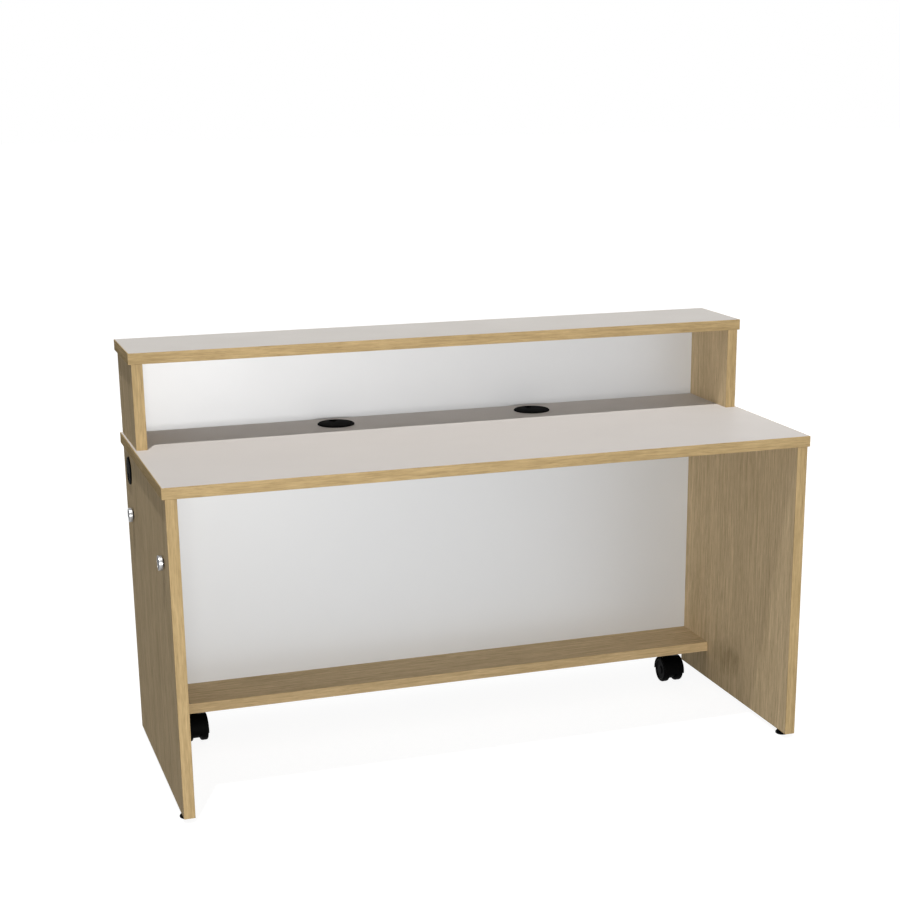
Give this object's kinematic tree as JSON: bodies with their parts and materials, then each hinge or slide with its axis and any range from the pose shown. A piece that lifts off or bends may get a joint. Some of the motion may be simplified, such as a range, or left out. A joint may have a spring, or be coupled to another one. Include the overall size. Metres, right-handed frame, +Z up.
{
  "type": "mobile reception desk",
  "caption": "Mobile reception desk with oak end panels, grey worktop, raised transaction top, white back, low shelf, cable grommets, cord knobs, casters and levelling glides.",
  "frame": {"origin": "on the floor, below the centre of the worktop", "axes": "+X along the desk to the right of a seated user, +Y from the seated side to the visitor's side, +Z up"},
  "size_m": [1.5297, 0.6096, 0.9843],
  "materials": {
    "grey_laminate": "fine matt grey laminate",
    "oak": "satin light oak laminate",
    "oak_band": "satin light oak edge band",
    "white_panel": "smooth white laminate",
    "beech_dowel": "raw turned wood",
    "black_grommet": "fine textured black plastic",
    "black_nylon": "moulded black nylon",
    "black_steel": "black coated steel",
    "zinc_steel": "zinc plated",
    "chrome": "polished chrome"
  },
  "bodies": {
    "desk": {"worktop": "grey_laminate", "worktop_edge_band": "oak_band", "transaction_top": "grey_laminate", "transaction_top_edge_band": "oak_band", "bottom_shelf": "oak", "bottom_shelf_edge_band": "oak_band", "modesty_panel": "white_panel", "riser_back_panel": "white_panel", "left_end_panel": "oak", "left_end_panel_edge_band": "oak_band", "left_riser_side": "oak", "left_riser_side_front_band": "oak_band", "left_riser_side_rear_band": "oak_band", "left_end_dowel_front": "beech_dowel", "left_end_dowel_rear": "beech_dowel", "left_riser_foot_dowel_front": "beech_dowel", "left_riser_foot_dowel_rear": "beech_dowel", "left_riser_head_dowel_front": "beech_dowel", "left_riser_head_dowel_rear": "beech_dowel", "left_shelf_dowel_front": "beech_dowel", "left_shelf_dowel_rear": "beech_dowel", "left_caster_plate": "black_steel", "left_glide_insert": "zinc_steel", "right_end_panel": "oak", "right_end_panel_edge_band": "oak_band", "right_riser_side": "oak", "right_riser_side_front_band": "oak_band", "right_riser_side_rear_band": "oak_band", "right_end_dowel_front": "beech_dowel", "right_end_dowel_rear": "beech_dowel", "right_riser_foot_dowel_front": "beech_dowel", "right_riser_foot_dowel_rear": "beech_dowel", "right_riser_head_dowel_front": "beech_dowel", "right_riser_head_dowel_rear": "beech_dowel", "right_shelf_dowel_front": "beech_dowel", "right_shelf_dowel_rear": "beech_dowel", "right_caster_plate": "black_steel", "right_glide_insert": "zinc_steel", "left_grommet_liner": "black_grommet", "right_grommet_liner": "black_grommet", "side_grommet_liner": "black_grommet", "front_cord_knob": "chrome", "rear_cord_knob": "chrome"},
    "left_caster": {"left_caster_hood": "black_nylon", "left_caster_axle": "zinc_steel"},
    "left_caster_left_wheel": {"left_caster_left_wheel": "black_nylon"},
    "left_caster_right_wheel": {"left_caster_right_wheel": "black_nylon"},
    "left_glide": {"left_glide": "black_nylon"},
    "right_caster": {"right_caster_hood": "black_nylon", "right_caster_axle": "zinc_steel"},
    "right_caster_left_wheel": {"right_caster_left_wheel": "black_nylon"},
    "right_caster_right_wheel": {"right_caster_right_wheel": "black_nylon"},
    "right_glide": {"right_glide": "black_nylon"},
    "left_grommet_cap": {"left_grommet_cap": "black_grommet"},
    "right_grommet_cap": {"right_grommet_cap": "black_grommet"},
    "side_grommet_cap": {"side_grommet_cap": "black_grommet"}
  },
  "joints": [
    {"name": "left_caster_swivel", "type": "hinge", "parent": "desk", "child": "left_caster", "pos_m": [-0.64135, 0.2186, 0.032], "axis": [0, 0, 1], "continuous": true},
    {"name": "left_caster_left_wheel_roll", "type": "hinge", "parent": "left_caster", "child": "left_caster_left_wheel", "pos_m": [-0.6601, 0.1916, 0.032], "axis": [1, 0, 0], "continuous": true},
    {"name": "left_caster_right_wheel_roll", "type": "hinge", "parent": "left_caster", "child": "left_caster_right_wheel", "pos_m": [-0.6226, 0.1916, 0.032], "axis": [1, 0, 0], "continuous": true},
    {"name": "left_glide_height", "type": "slide", "parent": "desk", "child": "left_glide", "axis": [0, 0, 1], "range_m": [-0.012, 0.0035]},
    {"name": "right_caster_swivel", "type": "hinge", "parent": "desk", "child": "right_caster", "pos_m": [0.64135, 0.2186, 0.032], "axis": [0, 0, 1], "continuous": true},
    {"name": "right_caster_left_wheel_roll", "type": "hinge", "parent": "right_caster", "child": "right_caster_left_wheel", "pos_m": [0.6226, 0.1916, 0.032], "axis": [1, 0, 0], "continuous": true},
    {"name": "right_caster_right_wheel_roll", "type": "hinge", "parent": "right_caster", "child": "right_caster_right_wheel", "pos_m": [0.6601, 0.1916, 0.032], "axis": [1, 0, 0], "continuous": true},
    {"name": "right_glide_height", "type": "slide", "parent": "desk", "child": "right_glide", "axis": [0, 0, 1], "range_m": [-0.012, 0.0035]},
    {"name": "left_grommet_cap_turn", "type": "hinge", "parent": "desk", "child": "left_grommet_cap", "pos_m": [-0.254, 0.2191, 0.7644], "axis": [0, 0, 1], "continuous": true},
    {"name": "right_grommet_cap_turn", "type": "hinge", "parent": "desk", "child": "right_grommet_cap", "pos_m": [0.254, 0.2191, 0.7644], "axis": [0, 0, 1], "continuous": true},
    {"name": "side_grommet_cap_turn", "type": "hinge", "parent": "desk", "child": "side_grommet_cap", "pos_m": [-0.75805, 0.22225, 0.6855], "axis": [-1, 0, 0], "continuous": true}
  ]
}
